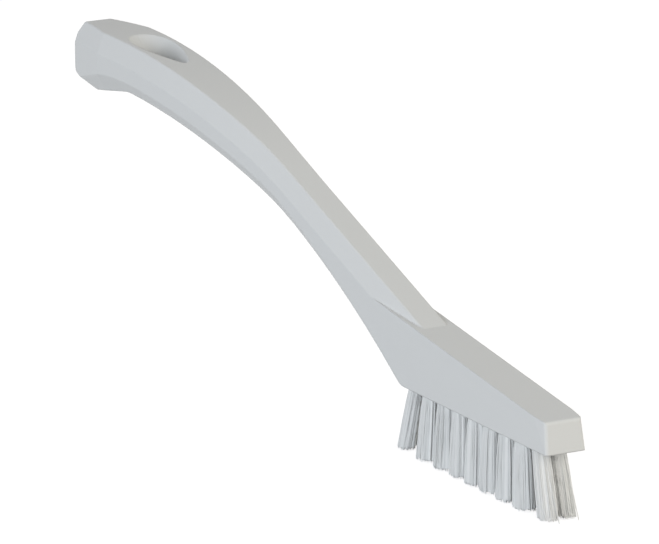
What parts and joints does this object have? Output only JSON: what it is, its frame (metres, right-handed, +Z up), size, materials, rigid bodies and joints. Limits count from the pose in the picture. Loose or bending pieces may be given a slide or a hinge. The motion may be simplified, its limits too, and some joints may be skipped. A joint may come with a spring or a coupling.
{
  "type": "crevice brush",
  "caption": "Slim crevice brush: a moulded handle with a hanging hole arches down to a narrow block that holds rows of short, stiff filament tufts.",
  "frame": {"origin": "centre of the overall box, on the plane of the bristle tips", "axes": "+X forward along the brush to the toe of the block, +Y to the brush's left, +Z up, from the bristle tips to the handle's top"},
  "size_m": [0.205, 0.0144, 0.0622],
  "materials": {
    "moulded_plastic": "fine satin moulding",
    "filament": "translucent white crimp-free filament",
    "wire": "drawn flat wire"
  },
  "bodies": {
    "root": {"brush_body": "moulded_plastic", "tuft_left_1": "filament", "tuft_left_2": "filament", "tuft_left_3": "filament", "tuft_left_4": "filament", "tuft_left_5": "filament", "tuft_left_6": "filament", "tuft_left_7": "filament", "tuft_left_8": "filament", "tuft_left_9": "filament", "tuft_right_1": "filament", "tuft_right_2": "filament", "tuft_right_3": "filament", "tuft_right_4": "filament", "tuft_right_5": "filament", "tuft_right_6": "filament", "tuft_right_7": "filament", "tuft_right_8": "filament", "tuft_right_9": "filament", "tuft_staples": "wire"}
  },
  "joints": []
}
